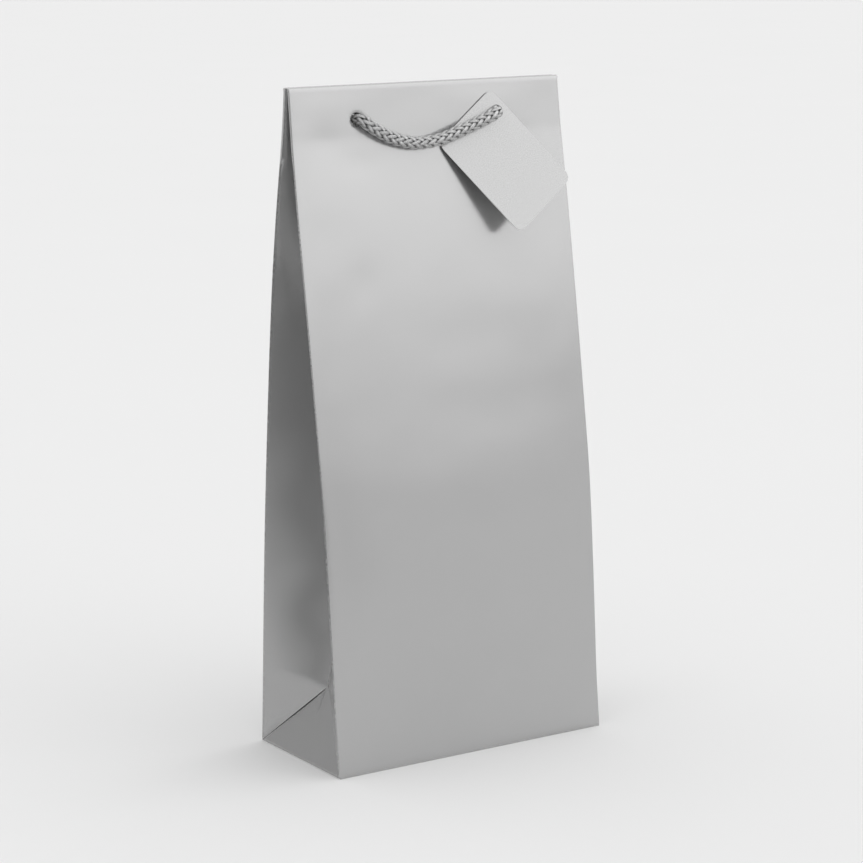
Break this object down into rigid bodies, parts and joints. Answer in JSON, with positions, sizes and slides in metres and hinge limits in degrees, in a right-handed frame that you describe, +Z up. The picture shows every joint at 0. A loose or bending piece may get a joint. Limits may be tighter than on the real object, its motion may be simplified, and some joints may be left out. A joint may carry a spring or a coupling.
{
  "type": "wine gift bag",
  "caption": "Tall folded paper gift bag for wine bottles with V-folded sides, braided cord handles and a corner-hung gift tag.",
  "frame": {"origin": "middle of the base, on the surface that the bag stands on", "axes": "+X across the width to the right, +Y into the depth away from the front panel, +Z up"},
  "size_m": [0.178, 0.0888, 0.3787],
  "materials": {
    "silver_paper": "satin silver laminate outside, white paper inside",
    "reinforcement_card": "matt, uncoated",
    "base_board": "matt, uncoated",
    "silver_cord": "shiny braided yarn",
    "tag_card": "satin silver laminate"
  },
  "bodies": {
    "base": {"base_front_flap": "silver_paper", "base_back_flap": "silver_paper", "base_left_flap": "silver_paper", "base_right_flap": "silver_paper", "base_board": "base_board"},
    "front_panel": {"front_panel": "silver_paper", "front_top_card": "reinforcement_card", "front_top_hem": "silver_paper", "front_handle_left_end": "silver_cord", "front_handle_right_end": "silver_cord", "front_handle_left_knot": "silver_cord", "front_handle_right_knot": "silver_cord"},
    "back_panel": {"back_panel": "silver_paper", "back_top_card": "reinforcement_card", "back_top_hem": "silver_paper", "side_seam_flap": "silver_paper", "back_handle_left_end": "silver_cord", "back_handle_right_end": "silver_cord", "back_handle_left_knot": "silver_cord", "back_handle_right_knot": "silver_cord"},
    "left_base_triangle": {"left_base_triangle": "silver_paper"},
    "right_base_triangle": {"right_base_triangle": "silver_paper"},
    "left_gusset_front_half": {"left_gusset_front_half": "silver_paper"},
    "left_gusset_back_half": {"left_gusset_back_half": "silver_paper"},
    "right_gusset_front_half": {"right_gusset_front_half": "silver_paper"},
    "right_gusset_back_half": {"right_gusset_back_half": "silver_paper"},
    "front_handle": {"front_handle_loop": "silver_cord"},
    "back_handle": {"back_handle_loop": "silver_cord"},
    "gift_tag": {"gift_tag": "tag_card"}
  },
  "joints": [
    {"name": "mouth_opening", "type": "hinge", "parent": "base", "child": "front_panel", "pos_m": [0, -0.0445, 0], "axis": [1, 0, 0], "range_deg": [0, 6.29]},
    {"name": "back_panel_opening", "type": "hinge", "parent": "base", "child": "back_panel", "pos_m": [0, 0.0445, 0], "axis": [-1, 0, 0], "range_deg": [0, 6.29]},
    {"name": "left_base_triangle_unfolding", "type": "hinge", "parent": "base", "child": "left_base_triangle", "pos_m": [-0.089, 0, 0], "axis": [0, -1, 0], "range_deg": [0, 26.39]},
    {"name": "right_base_triangle_unfolding", "type": "hinge", "parent": "base", "child": "right_base_triangle", "pos_m": [0.089, 0, 0], "axis": [0, 1, 0], "range_deg": [0, 26.39]},
    {"name": "left_gusset_front_half_unfolding", "type": "hinge", "parent": "front_panel", "child": "left_gusset_front_half", "pos_m": [-0.089, -0.0445, 0], "axis": [0, 0.1096, 0.994], "range_deg": [0, 86.44], "deforming": ["left_gusset_front_half"]},
    {"name": "left_gusset_back_half_unfolding", "type": "hinge", "parent": "back_panel", "child": "left_gusset_back_half", "pos_m": [-0.089, 0.0445, 0], "axis": [0, 0.1096, -0.994], "range_deg": [0, 86.44], "deforming": ["left_gusset_back_half"]},
    {"name": "right_gusset_front_half_unfolding", "type": "hinge", "parent": "front_panel", "child": "right_gusset_front_half", "pos_m": [0.089, -0.0445, 0], "axis": [0, -0.1096, -0.994], "range_deg": [0, 86.44], "deforming": ["right_gusset_front_half"]},
    {"name": "right_gusset_back_half_unfolding", "type": "hinge", "parent": "back_panel", "child": "right_gusset_back_half", "pos_m": [0.089, 0.0445, 0], "axis": [0, -0.1096, 0.994], "range_deg": [0, 86.44], "deforming": ["right_gusset_back_half"]},
    {"name": "front_handle_swing", "type": "hinge", "parent": "front_panel", "child": "front_handle", "pos_m": [-0.002, -0.01065, 0.36046], "axis": [-0.999, 0.0452, -0.005], "range_deg": [0, 175]},
    {"name": "back_handle_swing", "type": "hinge", "parent": "back_panel", "child": "back_handle", "pos_m": [-0.002, 0.00861, 0.36024], "axis": [1, 0, 0], "range_deg": [0, 175]},
    {"name": "tag_swing", "type": "hinge", "parent": "front_panel", "child": "gift_tag", "pos_m": [0.043, -0.00483, 0.35982], "axis": [0, -0.994, 0.1096], "range_deg": [0, 60]}
  ],
  "couplings": [
    {"joint": "back_panel_opening", "follows": "mouth_opening", "ratio": 1},
    {"joint": "left_base_triangle_unfolding", "follows": "mouth_opening", "ratio": 4.1943},
    {"joint": "right_base_triangle_unfolding", "follows": "mouth_opening", "ratio": 4.1943},
    {"joint": "left_gusset_front_half_unfolding", "follows": "mouth_opening", "ratio": 13.739},
    {"joint": "left_gusset_back_half_unfolding", "follows": "mouth_opening", "ratio": 13.739},
    {"joint": "right_gusset_front_half_unfolding", "follows": "mouth_opening", "ratio": 13.739},
    {"joint": "right_gusset_back_half_unfolding", "follows": "mouth_opening", "ratio": 13.739}
  ]
}
